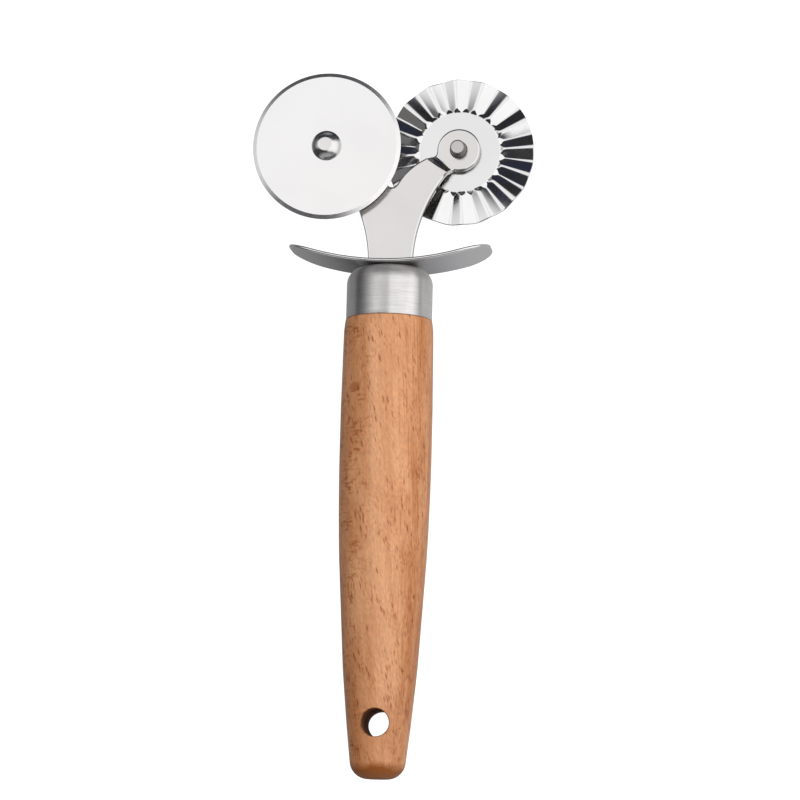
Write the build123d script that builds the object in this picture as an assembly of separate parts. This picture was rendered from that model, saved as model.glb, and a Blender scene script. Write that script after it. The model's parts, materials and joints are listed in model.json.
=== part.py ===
from build123d import *
import math
import os

os.makedirs("parts", exist_ok=True)

# Millimetres. X runs across the two wheels, Y along the handle towards them, Z up.
# While drawing, Y = 0 is the wood shoulder under the ferrule and Z = 0 the handle axis.

# Ferrule
ferrule_radius = 11.45
ferrule_length = 14.0
ferrule_wall = 0.6
ferrule_round = 4.5
cup_chamfer = 2.2

# Wooden handle
handle_length = 121.3
shoulder_step = 0.05
brim_radius = 11.9
brim_below_shoulder = 4.0
swell_radius = 12.18
swell_below_shoulder = 24.0
swell_length = 12.0
grip_radius = 11.6
grip_below_shoulder = 62.0
taper_radius = 9.67
taper_above_butt = 27.3
heel_radius = 7.95
heel_above_butt = 9.3
butt_radius = 6.75
butt_round = 4.6
hole_diameter = 7.2
hole_above_butt = 14.3
hole_edge = 0.3

# Finger guard
guard_length = 54.0
guard_depth = 21.0
guard_end_flat = 5.0
guard_thickness = 0.9
guard_bend_radius = 75.0
guard_edge = 0.25

# Fork plate with its tang
plate_thickness = 2.0
plate_edge = 0.3
tang_width = 8.0
tang_below_shoulder = 38.0
tang_tip = 2.0
neck_shoulder = 2.0
eyelet_radius = 5.8
eyelet_blend = 1.5
arm_inner_angle = 195.0
arm_outer_angle = 253.0
arm_bulge = 1.8
crotch_below_axles = 12.4
crotch_round = 1.5
step_angle = 54.0
step_from_axle = 5.4
step_run = 1.7
step_drop = 1.9
step_round = 0.5

# Wheels
wheel_radius = 20.0
axle_spacing = 35.0
axle_above_ferrule = 32.8
plain_thickness = 1.0
bevel_width = 1.05
bevel_edge = 0.2
sheet_thickness = 0.8
flute_count = 16
flute_start_radius = 10.8
flute_ramp = 1.3
flute_height = 1.8
crest_clockwise = 19.5

# Rivets and washers
shank_radius = 2.2
journal_step = 0.4
head_radius = 4.0
head_flat_radius = 1.8
head_height = 2.2
head_rim = 0.3
tail_height = 3.4
tail_radius = 2.0
tail_chamfer = 0.3
collar_height = 1.1
washer_radius = 4.2
washer_thickness = 0.5

# A rounding on a turned piece is worked as this many flats, which keeps its mesh light
round_flats = 4

# Clearances
glue_room = 0.4
slot_play = 0.1
tenon_play = 0.05
running_play = 0.05
side_play = 0.1

# Places that several pieces share
axle_x = axle_spacing / 2
axle_y = ferrule_length + axle_above_ferrule
half_plate = plate_thickness / 2
seat_z = step_drop + half_plate
wheel_z = seat_z + washer_thickness + side_play
journal_radius = shank_radius + journal_step
wheel_bore = journal_radius + running_play
turned_over = Rot(0, 180, 0)


def upright(radius, low, high):
    return Pos(0, 0, low) * Cylinder(radius, high - low, align=(Align.CENTER, Align.CENTER, Align.MIN))


def lengthwise(radius, low, high):
    return Rot(-90, 0, 0) * upright(radius, low, high)


def nearest_corner(face, x, y):
    return face.vertices().sort_by_distance((x, y, 0))[0]


def rounded(face, x, y, radius):
    return fillet(nearest_corner(face, x, y), radius)


def chamfered(face, x, y, length):
    return chamfer(nearest_corner(face, x, y), length)


def flats(arc):
    return [arc @ (k / round_flats) for k in range(round_flats + 1)]


def eased(face, x, y, radius):
    arcs = rounded(face, x, y, radius).edges().filter_by(GeomType.CIRCLE)
    arc = arcs.sort_by_distance((x, y, 0))[0]
    corner = arc @ 0 + arc % 0 * radius * math.tan(arc.length / radius / 2)
    return face - make_face(Polyline(corner, *flats(arc), close=True))


# Handle: a turned outline with a tenon for the ferrule, bored for the tang and drilled for hanging
tenon_radius = ferrule_radius - ferrule_wall - tenon_play
tenon_top = ferrule_length - ferrule_wall - cup_chamfer
bore_radius = math.hypot(tang_width, plate_thickness) / 2 + glue_room
bore_bottom = -tang_below_shoulder - glue_room
hole_y = hole_above_butt - handle_length

shoulder = (ferrule_radius + shoulder_step, 0)
brim = (brim_radius, -brim_below_shoulder)
swell = (swell_radius, -swell_below_shoulder)
swell_end = (swell_radius, -swell_below_shoulder - swell_length)
grip = (grip_radius, -grip_below_shoulder)
taper = (taper_radius, taper_above_butt - handle_length)
heel = (heel_radius, heel_above_butt - handle_length)
butt = (butt_radius, -handle_length)
neck_arc = TangentArc(swell, brim, tangent=(0, 1))
swell_arc = TangentArc(swell_end, grip, tangent=(0, -1))
wood = make_face(
    Curve()
    + Polyline((0, tenon_top), (tenon_radius, tenon_top), (tenon_radius, 0), shoulder)
    + TangentArc(brim, shoulder, tangent=neck_arc % 1)
    + neck_arc
    + Line(swell, swell_end)
    + swell_arc
    + TangentArc(grip, taper, tangent=swell_arc % 1)
    + Polyline(taper, heel, butt, (0, -handle_length), (0, tenon_top))
)
wood = eased(wood, *butt, butt_round)
handle = revolve(wood, Axis.Y)
handle -= lengthwise(bore_radius, bore_bottom, tenon_top)
handle -= Pos(0, hole_y, 0) * upright(hole_diameter / 2, -swell_radius, swell_radius)
hole_wall = handle.faces().filter_by(GeomType.CYLINDER).sort_by_distance((0, hole_y, 0))[0]
hole_rims = [edge for edge in hole_wall.edges() if edge.geom_type != GeomType.LINE]
handle = chamfer(hole_rims, hole_edge)

# Ferrule: a drawn cup with a slot for the tang
cup_radius = ferrule_radius - ferrule_wall
cup_top = ferrule_length - ferrule_wall
cup = make_face(
    Polyline(
        (0, ferrule_length),
        (ferrule_radius, ferrule_length),
        (ferrule_radius, 0),
        (cup_radius, 0),
        (cup_radius, cup_top),
        (0, cup_top),
        close=True,
    )
)
cup = chamfered(cup, cup_radius, cup_top, cup_chamfer)
cup = eased(cup, ferrule_radius, ferrule_length, ferrule_round)
tang_slot = Box(tang_width + 2 * slot_play, 4 * ferrule_length, plate_thickness + 2 * slot_play)
ferrule = revolve(cup, Axis.Y) - tang_slot

# Finger guard: a strip with rounded ends, bent up to both sides and resting on the ferrule
bend_y = ferrule_length + guard_bend_radius
guard_top_radius = guard_bend_radius - guard_thickness
strip = Pos(0, bend_y, 0) * (Circle(guard_bend_radius) - Circle(guard_top_radius))
footprint = RectangleRounded(guard_length, guard_depth, (guard_depth - guard_end_flat) / 2)
guard = extrude(strip, guard_depth, both=True) & extrude(Plane.XZ * footprint, -bend_y)
guard = chamfer(guard.edges(), guard_edge) - tang_slot

# Fork plate: a flat neck whose arms step to opposite faces and end in an eyelet each
half_neck = tang_width / 2 + neck_shoulder
neck_y = bend_y - math.sqrt(guard_top_radius**2 - half_neck**2)
crotch_y = axle_y - crotch_below_axles


def on_eyelet(angle):
    turn = math.radians(angle)
    return (axle_x + eyelet_radius * math.cos(turn), axle_y + eyelet_radius * math.sin(turn))


arm_in = on_eyelet(arm_inner_angle)
arm_out = on_eyelet(arm_outer_angle)
arm = make_face(
    Curve()
    + Polyline((0, crotch_y), (0, neck_y), (half_neck, neck_y))
    + TangentArc((half_neck, neck_y), arm_out, tangent=(0, 1))
    + Polyline(arm_out, (axle_x, axle_y), arm_in)
    + SagittaArc((0, crotch_y), arm_in, arm_bulge)
)
arm += Pos(axle_x, axle_y) * Circle(eyelet_radius)
arm = rounded(arm, *arm_out, eyelet_blend)
arm = rounded(arm, *arm_in, eyelet_blend)

# The step is drawn in the upright plane along the arm, with one thickness throughout
heading = math.radians(step_angle)
step_plane = Plane(
    origin=(axle_x, axle_y, 0),
    x_dir=(math.cos(heading), math.sin(heading), 0),
    z_dir=(math.sin(heading), -math.cos(heading), 0),
)
step_shift = plate_thickness * math.tan(math.atan2(step_drop, step_run) / 2)
step_top = -step_from_axle - step_run
sheet = make_face(
    Polyline(
        (-axle_y, half_plate),
        (step_top, half_plate),
        (-step_from_axle, half_plate - step_drop),
        (axle_x, half_plate - step_drop),
        (axle_x, -half_plate - step_drop),
        (-step_from_axle - step_shift, -half_plate - step_drop),
        (step_top - step_shift, -half_plate),
        (-axle_y, -half_plate),
        close=True,
    )
)
for shift, level in ((0, half_plate), (-step_shift, -half_plate)):
    sheet = rounded(sheet, step_top + shift, level, step_round)
    sheet = rounded(sheet, -step_from_axle + shift, level - step_drop, step_round)
right_arm = extrude(arm, axle_y, both=True) & extrude(step_plane * sheet, axle_y, both=True)

half_tang = tang_width / 2
tang = make_face(
    Polyline(
        (-half_tang, neck_y),
        (-half_tang, tang_tip - tang_below_shoulder),
        (tang_tip - half_tang, -tang_below_shoulder),
        (half_tang - tang_tip, -tang_below_shoulder),
        (half_tang, tang_tip - tang_below_shoulder),
        (half_tang, neck_y),
        close=True,
    )
)
fork = right_arm + turned_over * right_arm + extrude(tang, half_plate, both=True)
crotch = fork.edges().filter_by(Axis.Z).sort_by_distance((0, crotch_y, 0))[0]
fork = fillet(crotch, crotch_round)
curved = [edge for edge in fork.edges() if edge.geom_type != GeomType.LINE]
fork = chamfer([edge for edge in curved if abs((edge % 0.5).Z) < 0.9], plate_edge)
for x in (-axle_x, axle_x):
    fork -= Pos(x, axle_y, 0) * upright(shank_radius, -seat_z, seat_z)

# Plain wheel: a flat disc bevelled from both faces to a blunt edge
half_plain = plain_thickness / 2
disc = make_face(
    Polyline(
        (wheel_bore, half_plain),
        (wheel_radius - bevel_width, half_plain),
        (wheel_radius, bevel_edge / 2),
        (wheel_radius, -bevel_edge / 2),
        (wheel_radius - bevel_width, -half_plain),
        (wheel_bore, -half_plain),
        close=True,
    )
)
plain_mid = wheel_z + half_plain
plain_wheel = Pos(-axle_x, axle_y, plain_mid) * revolve(Plane.XZ * disc, Axis.Z)

# Fluted wheel: the sheet is folded along rays from its centre, so the flutes deepen towards the rim.
# The facets of one flute are thickened, repeated round a flat hub and trimmed to the rim.
half_sheet = sheet_thickness / 2
half_flute = 180 / flute_count
past_rim = wheel_radius + sheet_thickness
fold_start = flute_start_radius + flute_ramp


def on_ray(radius, share, side):
    # share of the way from a crest to the next valley; side 1 is up, -1 down, 0 in the hub
    turn = math.radians(half_flute * share)
    rise = side * flute_height / 2 * radius / wheel_radius
    return (radius * math.cos(turn), radius * math.sin(turn), rise)


hub_corners = [on_ray(flute_start_radius, share, 0) for share in (-0.5, 0.5, 1.5)]
crest = [on_ray(radius, 0, 1) for radius in (fold_start, past_rim)]
valley = [on_ray(radius, 1, -1) for radius in (past_rim, fold_start)]
flank = make_face(Polyline(hub_corners[1], *crest, *valley, close=True))
crest_end = make_face(Polyline(*hub_corners[:2], crest[0], close=True))
valley_end = make_face(Polyline(*hub_corners[1:], valley[1], close=True))
facets = [flank, mirror(flank, Plane.XZ), crest_end, valley_end]
hub = RegularPolygon(flute_start_radius, 2 * flute_count, rotation=half_flute / 2)
sheet_pieces = [
    Rot(0, 0, 2 * half_flute * k) * extrude(facet, sheet_thickness, dir=(0, 0, 1))
    for facet in facets
    for k in range(flute_count)
]
fluted_wheel = Pos(0, 0, -half_sheet) * extrude(hub, sheet_thickness).fuse(*sheet_pieces)
fluted_wheel &= upright(wheel_radius, -flute_height, flute_height)
fluted_wheel -= upright(wheel_bore, -flute_height, flute_height)
fluted_mid = -wheel_z - half_sheet
fluted_wheel = Pos(axle_x, axle_y, fluted_mid) * Rot(0, 0, 90 - crest_clockwise) * fluted_wheel


# Shoulder rivets: domed head, journal for the wheel, shank through the eyelet, collar and blunt tail
def rivet(wheel_thickness):
    under_head = wheel_z + wheel_thickness + side_play
    head_top = under_head + head_height
    collar = seat_z - plate_thickness - collar_height
    tail = seat_z - plate_thickness - tail_height
    dome_rise = head_height - head_rim
    ball_below = (head_radius**2 - head_flat_radius**2 - dome_rise**2) / (2 * dome_rise)
    ball_radius = math.hypot(head_radius, ball_below)
    dome = RadiusArc((head_radius, under_head + head_rim), (head_flat_radius, head_top), -ball_radius)
    outline = Polyline(
        (0, head_top),
        (0, tail),
        (tail_radius - tail_chamfer, tail),
        (tail_radius, tail + tail_chamfer),
        (tail_radius, collar),
        (shank_radius, collar),
        (shank_radius, seat_z),
        (journal_radius, seat_z),
        (journal_radius, under_head),
        (head_radius, under_head),
        *flats(dome),
        close=True,
    )
    return Pos(-axle_x, axle_y, 0) * revolve(Plane.XZ * make_face(outline), Axis.Z)


def washer():
    ring = upright(washer_radius, seat_z, seat_z + washer_thickness)
    ring -= upright(wheel_bore, seat_z, seat_z + washer_thickness)
    return Pos(-axle_x, axle_y, 0) * ring


# Set adhesive that fills the bore round the tang
adhesive = lengthwise(bore_radius, bore_bottom, tenon_top) - fork

pieces = {
    "handle": handle,
    "ferrule": ferrule,
    "finger_guard": guard,
    "fork": fork,
    "tang_adhesive": adhesive,
    "plain_wheel": plain_wheel,
    "fluted_wheel": fluted_wheel,
    "plain_wheel_rivet": rivet(plain_thickness),
    "fluted_wheel_rivet": turned_over * rivet(sheet_thickness),
    "plain_wheel_washer": washer(),
    "fluted_wheel_washer": turned_over * washer(),
}

# The tool lies on the table, with the middle of its box over the origin
on_table = Pos(0, (handle_length - axle_y - wheel_radius) / 2, max(swell_radius, guard_depth / 2))
for name, piece in pieces.items():
    placed = on_table * piece
    print(name, placed.is_valid, len(placed.solids()), round(placed.volume, 1))
    export_step(placed, f"parts/{name}.step")
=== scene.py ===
import json
import math

import bmesh
import bpy
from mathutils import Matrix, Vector


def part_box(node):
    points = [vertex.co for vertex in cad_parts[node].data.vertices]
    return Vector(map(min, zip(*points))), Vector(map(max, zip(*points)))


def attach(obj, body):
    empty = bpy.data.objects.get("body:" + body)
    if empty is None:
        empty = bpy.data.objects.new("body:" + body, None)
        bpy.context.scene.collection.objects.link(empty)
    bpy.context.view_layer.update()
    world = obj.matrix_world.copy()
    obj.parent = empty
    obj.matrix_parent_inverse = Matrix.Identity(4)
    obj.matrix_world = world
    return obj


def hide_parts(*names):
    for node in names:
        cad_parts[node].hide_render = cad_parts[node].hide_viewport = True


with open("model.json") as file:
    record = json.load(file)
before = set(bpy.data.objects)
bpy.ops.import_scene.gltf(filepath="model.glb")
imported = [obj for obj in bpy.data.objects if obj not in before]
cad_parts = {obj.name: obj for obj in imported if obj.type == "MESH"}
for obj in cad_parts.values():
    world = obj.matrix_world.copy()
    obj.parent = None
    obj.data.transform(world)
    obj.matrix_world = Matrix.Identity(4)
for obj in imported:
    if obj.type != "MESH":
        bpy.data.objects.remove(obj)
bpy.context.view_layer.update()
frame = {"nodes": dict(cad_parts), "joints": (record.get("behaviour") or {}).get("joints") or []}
nodes = frame["nodes"]
axles = {joint["child"]: Vector(joint["pos_m"]) for joint in frame["joints"]}
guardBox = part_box("finger_guard")
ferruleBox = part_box("ferrule")
handleHeight = (guardBox[0].z + guardBox[1].z) / 2  # the handle's axis runs along Y at this height
woodTop = ferruleBox[0].y  # the bare wood starts here and runs towards -Y
mm = 0.001
longestEdge = 1.2 * mm     # longer edges of a turned outline are divided
turnMerge = 0.002 * mm     # points closer than this are merged after a turn
sheetMerge = 0.001 * mm    # and closer than this in a flat sheet
flatNormal = 0.999         # a face whose normal is this near to Z counts as flat
flatten = 1e6              # a spot so long that its pattern stays the same along that axis
noiseRange = (0.3, 0.7)    # most of a noise pattern lies between these values
cloudStops = (0.35, 0.65)  # where a clouded colour is dullest and brightest
print("frame loaded,", len(nodes), "nodes")


# helpers for finishes
def addNode(tree, kind, inputs=None, **settings):
    node = tree.nodes.new("ShaderNode" + kind)
    for key, value in settings.items():
        setattr(node, key, value)
    for key, value in (inputs or {}).items():
        if isinstance(value, bpy.types.NodeSocket):
            tree.links.new(value, node.inputs[key])
        else:
            node.inputs[key].default_value = value
    return node


def newFinish(name, settings):
    finish = bpy.data.materials.new(name)
    finish.use_nodes = True
    shader = finish.node_tree.nodes["Principled BSDF"]
    for socket, value in settings.items():
        shader.inputs[socket].default_value = value
    return finish, finish.node_tree, shader


def inMetres(lengths):
    return [length * mm for length in lengths]


def placeOn(tree):
    return addNode(tree, "SeparateXYZ", {0: addNode(tree, "TexCoord").outputs["Object"]}).outputs


def laidOut(tree, size, turn=0, shift=(0, 0, 0)):
    # one spot of the given size in metres becomes one unit, turned in the plane of the table
    where = addNode(tree, "TexCoord").outputs["Object"]
    turned = (0, 0, math.radians(turn))
    laid = {"Vector": where, "Location": shift, "Rotation": turned, "Scale": size}
    return addNode(tree, "Mapping", laid, vector_type="TEXTURE").outputs["Vector"]


def speckle(tree, size, turn=0, shift=(0, 0, 0), **noise):
    # soft noise with spots in millimetres
    spots = laidOut(tree, inMetres(size), turn, inMetres(shift))
    return addNode(tree, "TexNoise", {"Vector": spots, "Scale": 1.0, **noise}).outputs[0]


def scatter(tree, size, turn=0):
    # distance to the nearest of many points, strewn one to a spot
    spots = laidOut(tree, inMetres(size), turn)
    return addNode(tree, "TexVoronoi", {"Vector": spots, "Scale": 1.0}).outputs["Distance"]


def distanceFrom(tree, place, size=(1, 1, flatten)):
    away = laidOut(tree, size, 0, place)
    return addNode(tree, "VectorMath", {0: away}, operation="LENGTH").outputs["Value"]


def spread(tree, value, low, high, start=0.0, end=1.0):
    limits = {"Value": value, "From Min": low, "From Max": high, "To Min": start, "To Max": end}
    return addNode(tree, "MapRange", limits).outputs["Result"]


def reckon(tree, operation, first, second=0.0):
    return addNode(tree, "Math", {0: first, 1: second}, operation=operation).outputs[0]


def times(tree, first, second):
    return reckon(tree, "MULTIPLY", first, second)


def tones(tree, value, stops):
    node = addNode(tree, "ValToRGB", {"Fac": value})
    bar = node.color_ramp
    for index, (position, colour) in enumerate(stops):
        stop = bar.elements[index] if index < 2 else bar.elements.new(position)
        stop.position = position
        stop.color = (*colour, 1)
    return node.outputs["Color"]


def blendColours(tree, amount, first, second, kind="MIX"):
    node = addNode(tree, "Mix", data_type="RGBA", blend_type=kind)
    colours = [socket for socket in node.inputs if socket.type == "RGBA"]
    for socket, value in zip((node.inputs[0], *colours), (amount, first, second)):
        if isinstance(value, bpy.types.NodeSocket):
            tree.links.new(value, socket)
        else:
            socket.default_value = value if isinstance(value, float) else (*value, 1)
    return [socket for socket in node.outputs if socket.type == "RGBA"][0]


def cloudedColour(tree, colour, dullShare, cloud):
    dull = tuple(dullShare * part for part in colour)
    return tones(tree, cloud, zip(cloudStops, (dull, colour)))


def addBump(tree, shader, height, strength, depth, invert=False):
    relief = {"Height": height, "Strength": strength, "Distance": depth * mm}
    bump = addNode(tree, "Bump", relief, invert=invert)
    tree.links.new(bump.outputs["Normal"], shader.inputs["Normal"])


# helpers for pieces
def addObject(name, data):
    made = bpy.data.objects.new(name, data)
    bpy.context.scene.collection.objects.link(made)
    return made


def toMesh(bm, name):
    mesh = bpy.data.meshes.new(name)
    bm.to_mesh(mesh)
    bm.free()
    return mesh


def roundOff(bm, sharp, width, segments, kind="EDGES", finishIndex=-1):
    bmesh.ops.bevel(bm, geom=sharp, offset=width * mm, offset_type="OFFSET", affect=kind,
                    segments=segments, profile=0.5, material=finishIndex)


def insetFlats(bm, border):
    # a narrow border keeps the flats flat beside their rounded edges
    flats = [face for face in bm.faces if abs(face.normal.z) > flatNormal]
    bmesh.ops.inset_region(bm, faces=flats, thickness=border * mm)


def fullTurn(bm, steps, centre, axis):
    bmesh.ops.spin(bm, geom=bm.verts[:] + bm.edges[:], cent=centre, axis=axis, dvec=(0, 0, 0),
                   angle=math.tau, steps=steps, use_merge=True, use_duplicate=False)
    bmesh.ops.remove_doubles(bm, verts=bm.verts[:], dist=turnMerge)


def turnOutline(outline, steps, toWorld, centre, axis, closed=False):
    # outline: radius, place along the axis and rounding in millimetres, segments of the rounding
    bm = bmesh.new()
    corners = [bm.verts.new(toWorld(radius * mm, along * mm)) for radius, along, _, _ in outline]
    for first, second in zip(corners, corners[1:] + corners[:1] if closed else corners[1:]):
        bm.edges.new((first, second))
    for corner, (_, _, rounding, segments) in zip(corners, outline):
        if rounding:
            roundOff(bm, [corner], rounding, segments, "VERTICES")
    for edge in bm.edges[:]:
        cuts = int(edge.calc_length() / longestEdge)
        if cuts:
            bmesh.ops.subdivide_edges(bm, edges=[edge], cuts=cuts)
    fullTurn(bm, steps, centre, axis)
    bmesh.ops.recalc_face_normals(bm, faces=bm.faces[:])
    return bm


def turnOnHandle(shape, closed=False):
    def onHandle(radius, along):
        return (radius, woodTop + along, handleHeight)

    centre = (0, 0, handleHeight)
    return turnOutline(shape["outline"], shape["steps"], onHandle, centre, (0, 1, 0), closed)


def smoothFaces(mesh, sharpAngle):
    for face in mesh.polygons:
        face.use_smooth = True
    mesh.set_sharp_from_angle(angle=math.radians(sharpAngle))


def keepPiece(bm, name, finish, body, replaced, sharpAngle=40):
    mesh = toMesh(bm, name)
    piece = addObject(name, mesh)
    mesh.materials.append(finish)
    smoothFaces(mesh, sharpAngle)
    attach(piece, body)
    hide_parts(replaced)
    print("made", name, "with", len(mesh.polygons), "faces")
    return piece


# camera, floor and light
studio = {
    "cameraPlace": (0.110, -0.1296, 0.850),
    "cameraTurn": (9.293, 7.016, 1.43),
    "lens": 145.33,
    "sensor": 36,
    "clipStart": 0.01,
    "floorSize": 3,
    "floorLook": {
        "Base Color": (0.20, 0.20, 0.20, 1), "Roughness": 0.9, "Specular IOR Level": 0.1,
        "Emission Color": (1, 1, 1, 1), "Emission Strength": 1.0,
    },
    "boxGlow": 1.85,  # brightness of the soft boxes over the tool
    # how much of it comes from each side, in degrees from straight up, left is negative
    "boxShares": [
        (-91, 0.0), (104, 0.0), (-84, 0.05), (-77, 0.14), (-69, 0.23), (-64, 0.34), (-58, 0.46),
        (-53, 0.56), (-46, 0.66), (-36, 0.80), (-27, 0.86), (-18, 0.81), (-9, 0.72), (0, 0.73),
        (7, 0.80), (14, 0.86), (40, 0.84), (70, 0.82), (80, 0.70), (90, 0.46),
    ],
    # the boxes' edges in degrees along Y: between two sides, each slants from one value to another
    "nearEdge": (0, 12, -9, -37),
    "farEdge": (-10, 30, 32, 35),
    "nearSoftness": 5,
    "farSoftness": 8,
    # light from the table below, in degrees from straight up as well
    "tableGlow": [
        (-180, 0.42), (180, 0.50), (-176, 0.27), (-172, 0.01), (-170, 0.01), (-166, 0.24),
        (-160, 0.37), (-125, 0.31), (-99, 0.31), (-91, 0.0), (98, 0.0), (104, 0.60), (140, 0.60),
    ],
    # pale walls beyond both ends of the tool: where each begins and is full, and its brightness
    "endWalls": {"butt": (-42, -58, 0.50), "wheels": (70, 80, 0.25)},
    # the rest of the room is dim and uneven, here and there bluish
    "clutter": {"Scale": 2.4, "Detail": 3.0},
    "roomTones": [
        (0.36, (0.012, 0.012, 0.013)), (0.70, (0.06, 0.06, 0.06)), (0.47, (0.036, 0.036, 0.036)),
        (0.53, (0.032, 0.039, 0.076)), (0.57, (0.040, 0.040, 0.040)),
    ],
    "softLamp": {"place": (0.18, 0.10, 0.60), "size": 0.5, "power": 1.6},
}


def makeCamera():
    camera = addObject("camera", bpy.data.cameras.new("camera"))
    camera.location = studio["cameraPlace"]
    camera.rotation_euler = [math.radians(angle) for angle in studio["cameraTurn"]]
    camera.data.lens = studio["lens"]
    camera.data.sensor_width = studio["sensor"]
    camera.data.clip_start = studio["clipStart"]
    bpy.context.scene.camera = camera


def makeFloor():
    finish, _, _ = newFinish("floor_white", studio["floorLook"])
    bm = bmesh.new()
    bmesh.ops.create_grid(bm, x_segments=1, y_segments=1, size=studio["floorSize"])
    floor = addObject("floor", toMesh(bm, "floor"))
    floor.data.materials.append(finish)
    floor.visible_glossy = False  # the steel mirrors the softer room instead
    floor.visible_diffuse = False


def makeLight():
    world = bpy.data.worlds.new("studio")
    bpy.context.scene.world = world
    world.use_nodes = True
    tree = world.node_tree
    direction = addNode(tree, "TexCoord").outputs["Generated"]
    aim = addNode(tree, "SeparateXYZ", {0: direction}).outputs
    degree = math.degrees(1)
    across = times(tree, reckon(tree, "ARCTAN2", aim["X"], aim["Z"]), degree)
    along = times(tree, reckon(tree, "ARCSINE", aim["Y"]), degree)

    def softEdge(value, low, high):
        limits = {"Value": value, "From Min": low, "From Max": high}
        return addNode(tree, "MapRange", limits, interpolation_type="SMOOTHSTEP").outputs["Result"]

    def greys(stops):
        placed = [((angle + 180) / 360, (grey, grey, grey)) for angle, grey in stops]
        return tones(tree, spread(tree, across, -180, 180), placed)

    shares = greys(studio["boxShares"])
    pastNear = reckon(tree, "SUBTRACT", along, spread(tree, across, *studio["nearEdge"]))
    pastFar = reckon(tree, "SUBTRACT", along, spread(tree, across, *studio["farEdge"]))
    near, far = studio["nearSoftness"], studio["farSoftness"]
    window = times(tree, softEdge(pastNear, -near, near), softEdge(pastFar, far, -far))
    boxes = times(tree, window, studio["boxGlow"])
    table = greys(studio["tableGlow"])
    for begins, full, bright in studio["endWalls"].values():
        wall = times(tree, softEdge(along, begins, full), bright)
        table = blendColours(tree, 1.0, table, wall, "ADD")
    clutter = addNode(tree, "TexNoise", {"Vector": direction, **studio["clutter"]}).outputs[0]
    room = tones(tree, clutter, studio["roomTones"])
    lit = blendColours(tree, 1.0, shares, boxes, "MULTIPLY")
    lit = blendColours(tree, 1.0, lit, table, "ADD")
    lit = blendColours(tree, 1.0, lit, room, "ADD")
    tree.links.new(lit, tree.nodes["Background"].inputs["Color"])

    lamp = studio["softLamp"]
    light = bpy.data.lights.new("soft_lamp", "AREA")
    light.size = lamp["size"]
    light.energy = lamp["power"]
    holder = addObject("soft_lamp", light)
    holder.location = lamp["place"]
    holder.rotation_euler = (-Vector(lamp["place"])).to_track_quat("-Z", "Y").to_euler()
    holder.visible_glossy = False
    bpy.context.scene.view_settings.view_transform = "Standard"


makeCamera()
makeFloor()
makeLight()
print("studio set up")

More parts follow.
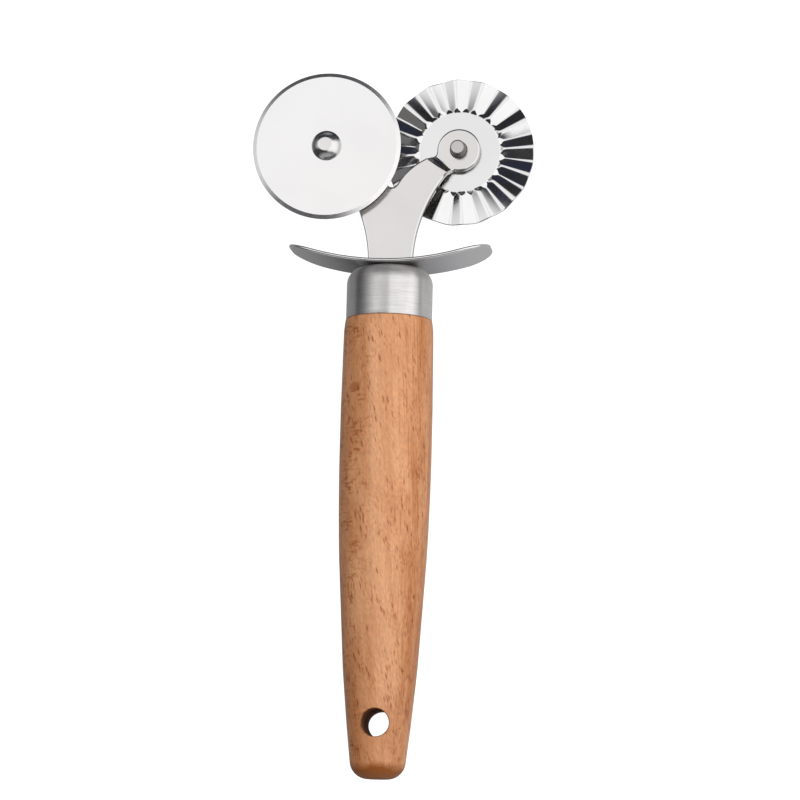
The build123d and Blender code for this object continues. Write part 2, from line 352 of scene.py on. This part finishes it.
# turned beech handle
handle = {
    # radius, place from the shoulder and rounding in millimetres, segments of the rounding
    "outline": [
        (0, -38.4, 0, 0), (4.523, -38.4, 0, 0), (4.523, 11.2, 0, 0), (10.80, 11.2, 0.4, 2),
        (10.80, 0, 0, 0), (11.50, 0, 0.12, 3), (11.844, -2.0, 1.8, 6), (12.17, -14.0, 9.8, 10),
        (12.17, -49.0, 12.9, 12), (10.886, -78.0, 13.8, 12), (9.67, -94.0, 2.0, 3),
        (7.95, -112.0, 5.0, 6), (6.75, -121.3, 4.05, 12), (0, -121.3, 0, 0),
    ],
    "steps": 128,
    "length": 121.3,
    "sharpAngle": 50,
    "holeRadius": 3.6, "holeBelow": 107.0,
    "drillLength": 50, "drillSegments": 72,
    "drillMerge": 0.03, "wallWithin": 0.02,  # points this close are merged, or are on its wall
    "rimAngle": 30, "rimEdge": 0.3, "rimSegments": 3,
    "beech": {
        "pale": (0.620, 0.300, 0.141),
        "warm": (0.495, 0.205, 0.076),
        "deep": (0.425, 0.152, 0.042),
        # darker end grain round the butt, partly painted shade on its rounding
        "end": (0.210, 0.060, 0.008),
        # painted shade for the drilled hole and the joint with the ferrule
        "bore": (0.150, 0.062, 0.030),
        # these four are laid over the wood and darken it: the first is painted shade towards the
        # butt, the others are marks of the grain
        "lowerShade": (0.895, 0.875, 0.85),
        "line": (0.72, 0.54, 0.28),
        "fleck": (0.66, 0.46, 0.22),
        "pore": (0.52, 0.25, 0.01),
        # patterns: spots in millimetres, turned in degrees
        "rings": {"size": (4.2, 90, 4.2), "turn": 3, "Detail": 3.0, "Roughness": 0.6},
        "clouds": {"size": (7, 16, 7), "turn": 16, "shift": (30, 0, 0), "Detail": 2.0},
        "mottle": {"size": (0.5, 1.4, 0.5), "turn": 12, "Detail": 2.0, "Roughness": 0.6},
        "lines": {"size": (0.42, 17, 0.42), "turn": 4, "Detail": 1.0},
        "rays": {"size": (2.4, 0.8, 2.4), "shift": (7, 0, 0), "Detail": 1.0},
        "patches": {"size": (4, 5, 4)},
        "strings": {"size": (1.7, 15, 1.7), "turn": 26, "Detail": 1.0},
        "fading": {"size": (1.4, 3, 1.4), "shift": (5, 0, 0)},
        "dashes": {"size": (0.70, 3.4, 0.70), "turn": 13},
        "fineDashes": {"size": (0.55, 1.6, 0.55), "turn": 10},
        # between which values of a pattern a blend grows,
        # and its amounts at both if they aren't 0 and 1
        "ringStops": (0.36, 0.58),
        "warmClouds": (0.46, 0.70, 0, 0.6),
        "leftClouds": (0.38, 0.62, 0.0, 0.42),
        "rightRings": (0.34, 0.58, 0.8, 0.1),
        "lineStops": (0.52, 0.68),
        "rayStops": (0.46, 0.66),
        "patchStops": (0.44, 0.60),
        "stringStops": (0.48, 0.58, 0.08, 1.0),
        "fadingStops": (0.35, 0.60, 0.40, 1.0),
        "dashStops": (0.16, 0.44, 1.0, 0),
        "fineDashStops": (0.12, 0.42, 0.46, 0),
        "mottleShades": (0.87, 1.13),
        # where a blend grows on the handle, in millimetres: across it, below the shoulder,
        # outside the hole's wall and above the butt
        "leftSide": (-1.5, -5.5),
        "rightSide": (1.0, 8.0), "lineShares": (0.04, 0.80),
        "lowerPart": (45, 105),
        "jointShadowEdge": (0.40, 0.1), "jointShadowShares": (0, 0.75),
        "boreEdge": (0.3, 0.05),
        "endEdge": (6.6, 4.4), "endShares": (0, 0.95), "endRagged": 4.4,
        # one dark fleck on the left, above the middle
        "spotPlace": (-7.4 * mm, 8.0 * mm, 0), "spotSize": (1.6 * mm, 1.25 * mm, flatten),
        "spotStops": (1.25, 0.7, 0, 0.75),
        "roughness": (0.38, 0.50),
        "boreGloss": (0.05, 0.50), "endGloss": (1, 0.3),
        "poreStrength": 0.15, "poreDepth": 0.05,
    },
}


def makeBeech():
    finish, tree, shader = newFinish("beech_oiled", {})
    beech = handle["beech"]

    def darken(under, amount, colour):
        return blendColours(tree, amount, under, colour, "MULTIPLY")

    where = placeOn(tree)
    side, along = where["X"], where["Y"]
    leftSide = spread(tree, side, *inMetres(beech["leftSide"]))
    rightSide = spread(tree, side, *inMetres(beech["rightSide"]))
    rings = speckle(tree, **beech["rings"])
    clouds = speckle(tree, **beech["clouds"])
    mottle = speckle(tree, **beech["mottle"])
    wood = tones(tree, rings, zip(beech["ringStops"], (beech["warm"], beech["pale"])))
    wood = blendColours(tree, spread(tree, clouds, *beech["warmClouds"]), wood, beech["warm"])
    # browner on the left, partly painted shade on the side away from the light, and in bands
    # towards the right
    leftBrownAndShade = times(tree, leftSide, spread(tree, clouds, *beech["leftClouds"]))
    rightBrown = times(tree, rightSide, spread(tree, rings, *beech["rightRings"]))
    wood = blendColours(tree, leftBrownAndShade, wood, beech["deep"])
    wood = blendColours(tree, rightBrown, wood, beech["deep"])
    wood = darken(wood, 1.0, spread(tree, mottle, *noiseRange, *beech["mottleShades"]))
    # painted shade: the wood grows darker towards the butt
    lowerPart = [woodTop - below * mm for below in beech["lowerPart"]]
    wood = darken(wood, spread(tree, along, *lowerPart), beech["lowerShade"])
    # long fine lines of the grain, strongest on the right
    lines = spread(tree, speckle(tree, **beech["lines"]), *beech["lineStops"])
    lineSide = spread(tree, side, *inMetres(beech["rightSide"]), *beech["lineShares"])
    wood = darken(wood, times(tree, lines, lineSide), beech["line"])
    # ray flecks lie across the grain on the left, in patches
    rays = spread(tree, speckle(tree, **beech["rays"]), *beech["rayStops"])
    patches = spread(tree, speckle(tree, **beech["patches"]), *beech["patchStops"])
    wood = darken(wood, times(tree, rays, times(tree, leftSide, patches)), beech["fleck"])
    spot = distanceFrom(tree, beech["spotPlace"], beech["spotSize"])
    wood = darken(wood, spread(tree, spot, *beech["spotStops"]), beech["fleck"])
    # pores: short dark dashes that gather in slanting strings
    crowd = spread(tree, speckle(tree, **beech["strings"]), *beech["stringStops"])
    fading = spread(tree, speckle(tree, **beech["fading"]), *beech["fadingStops"])
    coarse = spread(tree, scatter(tree, **beech["dashes"]), *beech["dashStops"])
    fine = spread(tree, scatter(tree, **beech["fineDashes"]), *beech["fineDashStops"])
    coarse = times(tree, times(tree, coarse, crowd), fading)
    pores = reckon(tree, "MAXIMUM", coarse, times(tree, fine, crowd))
    wood = darken(wood, pores, beech["pore"])
    # painted shade darkens the drilled hole, a painted shadow lies at the joint with the ferrule,
    # and round the butt the end grain is darker, partly painted shade
    bore = handle["holeRadius"] * mm
    drill = distanceFrom(tree, (0, woodTop - handle["holeBelow"] * mm, 0))
    boreEdge = [bore + outside * mm for outside in beech["boreEdge"]]
    inBore = spread(tree, drill, *boreEdge)
    # painted shade: the hole's wall takes the dark bore colour
    wood = blendColours(tree, inBore, wood, beech["bore"])
    # painted shadow: a thin dark line on the wood under the ferrule's edge
    jointShadowEdge = [woodTop - below * mm for below in beech["jointShadowEdge"]]
    joint = spread(tree, along, *jointShadowEdge, *beech["jointShadowShares"])
    wood = blendColours(tree, joint, wood, beech["bore"])
    # the end grain is darker round the butt, and partly painted shade on the butt's rounding
    butt = woodTop - handle["length"] * mm
    endEdge = [butt + above * mm for above in beech["endEdge"]]
    ragged = reckon(tree, "ADD", times(tree, clouds, beech["endRagged"] * mm), along)
    endGrainAndShade = spread(tree, ragged, *endEdge, *beech["endShares"])
    wood = blendColours(tree, endGrainAndShade, wood, beech["end"])
    tree.links.new(wood, shader.inputs["Base Color"])
    # hardly any gloss in the hole and little on the end grain
    gloss = spread(tree, drill, *reversed(boreEdge), *beech["boreGloss"])
    gloss = times(tree, gloss, spread(tree, endGrainAndShade, 0, 1, *beech["endGloss"]))
    tree.links.new(gloss, shader.inputs["Specular IOR Level"])
    roughness = spread(tree, mottle, *noiseRange, *beech["roughness"])
    tree.links.new(reckon(tree, "MAXIMUM", roughness, inBore), shader.inputs["Roughness"])
    addBump(tree, shader, pores, beech["poreStrength"], beech["poreDepth"], invert=True)
    return finish


def makeHandle():
    piece = keepPiece(turnOnHandle(handle), "turned_handle", makeBeech(), "frame",
                      "handle")
    # the hanging hole is drilled across, then its rims are eased
    holeY = woodTop - handle["holeBelow"] * mm
    radius = handle["holeRadius"] * mm
    bm = bmesh.new()
    bmesh.ops.create_cone(bm, cap_ends=True, segments=handle["drillSegments"], radius1=radius,
                          radius2=radius, depth=handle["drillLength"] * mm)
    bmesh.ops.translate(bm, verts=bm.verts[:], vec=(0, holeY, handleHeight))
    drill = addObject("drill", toMesh(bm, "drill"))
    cut = piece.modifiers.new("hanging_hole", "BOOLEAN")
    cut.object = drill
    cut.solver = "EXACT"
    shown = piece.evaluated_get(bpy.context.evaluated_depsgraph_get())
    drilled = bpy.data.meshes.new_from_object(shown)
    piece.modifiers.clear()
    bpy.data.objects.remove(drill)
    bm = bmesh.new()
    bm.from_mesh(drilled)
    bmesh.ops.remove_doubles(bm, verts=bm.verts[:], dist=handle["drillMerge"] * mm)

    def onWall(vert):
        out = math.hypot(vert.co.x, vert.co.y - holeY)
        return abs(out - radius) < handle["wallWithin"] * mm

    sharp = math.radians(handle["rimAngle"])
    rims = [edge for edge in bm.edges
            if all(map(onWall, edge.verts)) and edge.calc_face_angle(0) > sharp]
    roundOff(bm, rims, handle["rimEdge"], handle["rimSegments"])
    bm.to_mesh(piece.data)
    bm.free()
    smoothFaces(piece.data, handle["sharpAngle"])


makeHandle()

# drawn ferrule
ferrule = {
    "outline": [
        (4.3, 14.0, 0, 0), (11.45, 14.0, 4.5, 14), (11.45, 0, 0.12, 2), (10.85, 0, 0, 0),
        (10.85, 13.4, 3.6, 8), (4.3, 13.4, 0, 0),
    ],
    "steps": 144,
    "colour": (0.735, 0.717, 0.700), "dullShare": 0.90,
    "polished": 0.31, "dulled": 0.45, "dulledEdge": (-5.8, -2.4),  # dulled on the left
    "drag": 1.0, "dragTurn": 0.25,
    "marks": {"size": (9, 0.16, 9), "Detail": 3.0, "Roughness": 0.7},
    "markShades": (0.80, 1.14), "markGloss": (0.94, 1.06), "markStrength": 0.06, "markDepth": 0.004,
    "wear": {"size": (2.5, 7, 2.5), "Detail": 3.0},
}


def makeFerruleSteel():
    # turned on the lathe: the gloss is drawn out along the handle, so it stands in upright bands
    finish, tree, shader = newFinish("ferrule_turned", {
        "Metallic": 1.0, "Anisotropic": ferrule["drag"],
        "Anisotropic Rotation": ferrule["dragTurn"],
    })
    marks = speckle(tree, **ferrule["marks"])
    wear = speckle(tree, **ferrule["wear"])
    steel = cloudedColour(tree, ferrule["colour"], ferrule["dullShare"], wear)
    shades = spread(tree, marks, *noiseRange, *ferrule["markShades"])
    steel = blendColours(tree, 1.0, steel, shades, "MULTIPLY")
    tree.links.new(steel, shader.inputs["Base Color"])
    roughness = (ferrule["dulled"], ferrule["polished"])
    rubbed = spread(tree, placeOn(tree)["X"], *inMetres(ferrule["dulledEdge"]), *roughness)
    gloss = times(tree, rubbed, spread(tree, marks, *noiseRange, *ferrule["markGloss"]))
    tree.links.new(gloss, shader.inputs["Roughness"])
    tangent = addNode(tree, "Tangent", direction_type="RADIAL", axis="Y")
    tree.links.new(tangent.outputs["Tangent"], shader.inputs["Tangent"])
    addBump(tree, shader, marks, ferrule["markStrength"], ferrule["markDepth"])
    return finish


keepPiece(turnOnHandle(ferrule, closed=True), "drawn_ferrule", makeFerruleSteel(), "frame",
          "ferrule")

# the other steels differ in colour, gloss and the size of their grinding marks
steelGrain = {
    "marks": {"Detail": 2.0, "Roughness": 0.6},
    "cloud": {"size": (14, 14, 14), "Detail": 3.0}, "dullShare": 0.97,
}


def makeSteel(name, colour, roughness, marksSize, depth=0.004, strength=0.3, rim=None):
    finish, tree, shader = newFinish(name, {"Metallic": 1.0})
    marks = speckle(tree, marksSize, **steelGrain["marks"])
    cloud = speckle(tree, **steelGrain["cloud"])
    clouded = cloudedColour(tree, colour, steelGrain["dullShare"], cloud)
    tree.links.new(clouded, shader.inputs["Base Color"])
    gloss = spread(tree, marks, *noiseRange, *roughness)
    if rim:
        # a ground rim that is duller than the face inside it
        out = distanceFrom(tree, rim["centre"])
        dulled = spread(tree, out, *inMetres(rim["edge"]), 0, rim["dulled"])
        gloss = reckon(tree, "ADD", gloss, dulled)
    tree.links.new(gloss, shader.inputs["Roughness"])
    addBump(tree, shader, marks, strength, depth)
    return finish


# bent finger guard
guard = {
    "length": 54.0, "depth": 21.0, "thickness": 0.9,
    "cornerRound": 8.0, "cornerSegments": 14,
    "edge": 0.4, "edgeSegments": 5, "edgeAngle": 70, "border": 0.04,
    "bendRadius": 75.0, "bendSteps": 12,
    "steel": {
        "colour": (0.62, 0.61, 0.61), "roughness": (0.20, 0.26), "marksSize": (4, 0.4, 0.4),
        "strength": 0.08,
    },
}


def makeGuard():
    bm = bmesh.new()
    # a square of one millimetre is stretched to the plate's size
    bmesh.ops.create_grid(bm, x_segments=1, y_segments=1, size=0.5 * mm)
    bmesh.ops.scale(bm, verts=bm.verts[:], vec=(guard["length"], guard["depth"], 1))
    roundOff(bm, bm.verts[:], guard["cornerRound"], guard["cornerSegments"], "VERTICES")
    # cut across at every point of the round corners and at even steps between them
    straight = guard["length"] / 2 - guard["cornerRound"]
    steps = guard["bendSteps"]
    cuts = {round(vert.co.x, 7) for vert in bm.verts}  # one cut for points on the same line
    cuts |= {straight * mm * step / steps for step in range(-steps, steps + 1)}
    for cut in sorted(cuts):
        bmesh.ops.bisect_plane(bm, geom=bm.verts[:] + bm.edges[:] + bm.faces[:], dist=sheetMerge,
                               plane_co=(cut, 0, 0), plane_no=(1, 0, 0))
    raised = bmesh.ops.extrude_face_region(bm, geom=bm.faces[:])
    top = [part for part in raised["geom"] if isinstance(part, bmesh.types.BMVert)]
    bmesh.ops.translate(bm, verts=top, vec=(0, 0, guard["thickness"] * mm))
    bmesh.ops.recalc_face_normals(bm, faces=bm.faces[:])
    sharp = math.radians(guard["edgeAngle"])
    rims = [edge for edge in bm.edges if edge.calc_face_angle(0) > sharp]
    roundOff(bm, rims, guard["edge"], guard["edgeSegments"])
    insetFlats(bm, guard["border"])
    # bent up towards the wheels, resting on the ferrule
    bend = guard["bendRadius"] * mm
    centre = ferruleBox[1].y + bend
    for vert in bm.verts:
        across, deep, high = vert.co
        bent = centre - math.sqrt((bend - high) ** 2 - across ** 2)
        vert.co = (across, bent, handleHeight + deep)
    bmesh.ops.recalc_face_normals(bm, faces=bm.faces[:])
    steel = makeSteel("guard_polished", **guard["steel"])
    keepPiece(bm, "bent_guard", steel, "frame", "finger_guard")


makeGuard()

# fork plate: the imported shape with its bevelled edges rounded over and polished
fork = {
    "flatAngle": 0.3, "bevelWidth": 0.46, "bevelAngle": 30,
    "edge": 0.2, "edgeSegments": 3, "border": 0.03,
    "steel": {
        "colour": (0.538, 0.523, 0.513), "roughness": (0.165, 0.180), "marksSize": (0.4, 6, 0.4),
        "strength": 0.015,
    },
    "edgeSteel": {
        "colour": (0.575, 0.565, 0.56), "roughness": (0.10, 0.14), "marksSize": (0.4, 6, 0.4),
        "strength": 0.05,
    },
}


def makeFork():
    bm = bmesh.new()
    bm.from_mesh(nodes["fork"].data)
    bmesh.ops.remove_doubles(bm, verts=bm.verts[:], dist=sheetMerge)
    bmesh.ops.dissolve_limit(bm, angle_limit=math.radians(fork["flatAngle"]), verts=bm.verts[:],
                             edges=bm.edges[:])
    # a bevel is a face that is long and narrow
    narrow = fork["bevelWidth"] * mm
    bevels = {face for face in bm.faces
              if face.calc_area() < narrow * max(edge.calc_length() for edge in face.edges)}
    steep = math.radians(fork["bevelAngle"])
    sharp = [edge for edge in bm.edges if edge.calc_face_angle(0) > steep
             and sum(face in bevels for face in edge.link_faces) == 1]
    roundOff(bm, sharp, fork["edge"], fork["edgeSegments"], finishIndex=1)
    bmesh.ops.recalc_face_normals(bm, faces=bm.faces[:])
    insetFlats(bm, fork["border"])
    steel = makeSteel("fork_satin", **fork["steel"])
    piece = keepPiece(bm, "stepped_fork", steel, "frame", "fork")
    piece.data.materials.append(makeSteel("fork_edge_polished", **fork["edgeSteel"]))


makeFork()

# fluted wheel
flutedWheel = {
    "boreRadius": 2.65, "hubRadius": 11.25, "rimRadius": 19.98,
    "count": 16, "height": 1.44, "crestClockwise": 18.6,
    "hubShare": 0.92,  # share of the height at the hub, the rest grows towards the rim
    "ramp": 0.8, "hubSoftness": 0.55,  # how steeply and how softly the flutes leave the hub
    "rampBlend": 4,  # the higher, the sharper the bend from the ramp to the flute
    "leastWave": 1e-9,  # a lower wave counts as flat
    "creaseShares": {"crest": 0.17, "valley": 0.20},  # share of a flank that a rounded crease takes
    # the disc is divided most finely where the flutes leave the hub
    "fineBand": (9.9, 13.2), "rimBand": 0.2, "ringCuts": (3, 24, 7, 0), "stepsPerFlute": 24,
    "sharpAngle": 60,
    "thickness": 0.78, "edge": 0.06, "edgeSegments": 2, "edgeAngle": 55,
    "steel": {
        "colour": (0.595, 0.59, 0.588), "roughness": (0.11, 0.16), "marksSize": (0.8, 0.8, 0.8),
        "depth": 0.001,
    },
}


def foldWave(turn):
    # 1 at a crest and -1 at a valley, straight flanks and rounded creases between them
    share = abs((turn + 0.5) % 1 - 0.5) * 2
    near = min(share, 1 - share)
    crease = flutedWheel["creaseShares"]["crest" if share < 0.5 else "valley"]
    rise = 0.5 - near if near > crease else 0.5 - crease / 2 - near ** 2 / (2 * crease)
    return 2 * rise if share < 0.5 else -2 * rise


def fluteHeight(across, along):
    # height of the sheet at a place counted from the axle, in millimetres
    radius = math.hypot(across, along) / mm
    turn = math.degrees(math.atan2(across, along)) - flutedWheel["crestClockwise"]
    wave = foldWave(turn * flutedWheel["count"] / 360) * flutedWheel["height"] / 2
    grown = flutedWheel["hubShare"]
    wave *= grown + (1 - grown) * radius / flutedWheel["rimRadius"]
    past = radius - flutedWheel["hubRadius"]
    soft = flutedWheel["hubSoftness"]
    rampLength = past if past > soft else max(past + soft, 0) ** 2 / (4 * soft)
    limit = flutedWheel["ramp"] * rampLength
    high = abs(wave)
    if high < flutedWheel["leastWave"] or limit <= 0:
        return 0
    power = flutedWheel["rampBlend"]
    return math.copysign((high ** -power + limit ** -power) ** (-1 / power), wave)


def makeFlutedWheel():
    axle = axles["fluted_wheel"]
    bm = bmesh.new()
    rim = flutedWheel["rimRadius"]
    inner = (flutedWheel["boreRadius"], *flutedWheel["fineBand"])
    stations = [*inner, rim - flutedWheel["rimBand"], rim]
    points = [bm.verts.new(axle + Vector((radius * mm, 0, 0))) for radius in stations]
    spokes = [bm.edges.new(pair) for pair in zip(points, points[1:])]
    for spoke, cuts in zip(spokes, flutedWheel["ringCuts"]):
        bmesh.ops.subdivide_edges(bm, edges=[spoke], cuts=cuts)
    fullTurn(bm, flutedWheel["stepsPerFlute"] * flutedWheel["count"], axle, (0, 0, 1))
    for vert in bm.verts:
        off = vert.co - axle
        vert.co.z += mm * fluteHeight(off.x, off.y)
    bmesh.ops.recalc_face_normals(bm, faces=bm.faces[:])
    if sum(face.normal.z for face in bm.faces) < 0:
        bmesh.ops.reverse_faces(bm, faces=bm.faces[:])
    steel = makeSteel("fluted_wheel_polished", **flutedWheel["steel"])
    piece = keepPiece(bm, "fluted_disc", steel, "fluted_wheel", "fluted_wheel",
                      flutedWheel["sharpAngle"])
    sheet = piece.modifiers.new("sheet", "SOLIDIFY")
    sheet.thickness = flutedWheel["thickness"] * mm
    sheet.offset = 0
    eased = piece.modifiers.new("rim", "BEVEL")
    eased.width = flutedWheel["edge"] * mm
    eased.segments = flutedWheel["edgeSegments"]
    eased.limit_method = "ANGLE"
    eased.angle_limit = math.radians(flutedWheel["edgeAngle"])


makeFlutedWheel()

# rivets: heights are counted from the middle of the wheel, towards the head
rivet = {
    "halfWheel": {"plain_wheel": 0.5, "fluted_wheel": 0.4},
    "headUp": {"plain_wheel": 1, "fluted_wheel": -1},
    "sidePlay": 0.1, "washer": 0.5, "plate": 2.0,
    "headRadius": 4.0, "headRim": 0.3, "headFlat": 1.8, "headHeight": 2.2,
    "domeCorner": (3.211, 1.610),
    "journalRadius": 2.6, "shankRadius": 2.2, "collarHeight": 1.1,
    "tailRadius": 2.0, "tailHeight": 3.4,
    # rounding and its segments
    "roundings": {
        "headFlat": (0.2, 3), "dome": (1.25, 8), "headRim": (0.12, 2), "underHead": (0.1, 2),
        "collar": (0.2, 3), "tail": (0.35, 4), "none": (0, 0),
    },
    "steps": 64,
    "onEnd": 0.01,  # a face this near to an end takes the finish of that end
    "steels": {
        "rivet_polished": {
            "colour": (0.60, 0.595, 0.59), "roughness": (0.20, 0.28), "marksSize": (0.6, 0.6, 0.6),
            "depth": 0.001,
        },
        "rivet_tip": {
            "colour": (0.58, 0.57, 0.56), "roughness": (0.24, 0.32), "marksSize": (0.15, 0.9, 0.5),
        },
        "rivet_ground": {
            "colour": (0.47, 0.46, 0.45), "roughness": (0.34, 0.46), "marksSize": (0.15, 0.9, 0.5),
        },
        "rivet_rough": {
            "colour": (0.24, 0.225, 0.21), "roughness": (0.40, 0.55), "marksSize": (0.3, 0.3, 0.3),
        },
    },
}
rivetSteels = [makeSteel(name, **look) for name, look in rivet["steels"].items()]
tipIndex, groundIndex, roughIndex = 1, 2, 3  # their places in that list


def makeRivet(wheel):
    axle = axles[wheel]
    up = rivet["headUp"][wheel]
    underHead = rivet["halfWheel"][wheel] + rivet["sidePlay"]
    headTop = underHead + rivet["headHeight"]
    seat = -underHead - rivet["washer"]
    plateBack = seat - rivet["plate"]
    collar = plateBack - rivet["collarHeight"]
    tail = plateBack - rivet["tailHeight"]
    domeRadius, domeHeight = rivet["domeCorner"]
    corners = [
        (0, headTop, "none"),
        (rivet["headFlat"], headTop, "headFlat"),
        (domeRadius, underHead + domeHeight, "dome"),
        (rivet["headRadius"], underHead + rivet["headRim"], "headRim"),
        (rivet["headRadius"], underHead, "underHead"),
        (rivet["journalRadius"], underHead, "none"),
        (rivet["journalRadius"], seat, "none"),
        (rivet["shankRadius"], seat, "none"),
        (rivet["shankRadius"], collar, "collar"),
        (rivet["tailRadius"], collar, "none"),
        (rivet["tailRadius"], tail, "tail"),
        (0, tail, "none"),
    ]
    outline = [(radius, along, *rivet["roundings"][kind]) for radius, along, kind in corners]

    def onAxle(radius, along):
        return (axle.x + radius, axle.y, axle.z + up * along)

    bm = turnOutline(outline, rivet["steps"], onAxle, axle, (0, 0, 1))
    for face in bm.faces:
        height = up * (face.calc_center_median().z - axle.z) / mm
        if abs(height - headTop) < rivet["onEnd"]:
            face.material_index = tipIndex
        elif abs(height - tail) < rivet["onEnd"]:
            face.material_index = groundIndex
        elif height < plateBack:
            face.material_index = roughIndex
    headSteel, *otherSteels = rivetSteels
    piece = keepPiece(bm, wheel + "_shoulder_rivet", headSteel, "frame",
                      wheel + "_rivet")
    for steel in otherSteels:
        piece.data.materials.append(steel)


for wheel in ("plain_wheel", "fluted_wheel"):
    makeRivet(wheel)

# set glue round the tang, hidden in the handle
glue = {
    "roughness": 0.7,
    "lumps": {"size": (2, 2, 2), "Detail": 3.0},
    "tones": [(0.3, (0.30, 0.24, 0.15)), (0.7, (0.42, 0.35, 0.24))],
}


def makeGlue():
    finish, tree, shader = newFinish("tang_glue", {"Roughness": glue["roughness"]})
    amber = tones(tree, speckle(tree, **glue["lumps"]), glue["tones"])
    tree.links.new(amber, shader.inputs["Base Color"])
    return finish


# nodes that keep their own shape
plainWheel = {
    "colour": (0.65, 0.64, 0.635), "roughness": (0.10, 0.16), "marksSize": (0.8, 0.8, 0.8),
    "depth": 0.001,
    "rim": {"centre": axles["plain_wheel"], "edge": (18.95, 19.05), "dulled": 0.17},
}
washer = {
    "colour": (0.55, 0.545, 0.54), "roughness": (0.28, 0.40), "marksSize": (0.6, 0.6, 0.6),
}
washerSteel = makeSteel("washer_plain", **washer)
keptNodes = {
    "plain_wheel": makeSteel("plain_wheel_polished", **plainWheel),
    "plain_wheel_washer": washerSteel, "fluted_wheel_washer": washerSteel,
    "tang_adhesive": makeGlue(),
}
for name, finish in keptNodes.items():
    nodes[name].data.materials.clear()
    nodes[name].data.materials.append(finish)
print("kept nodes finished")
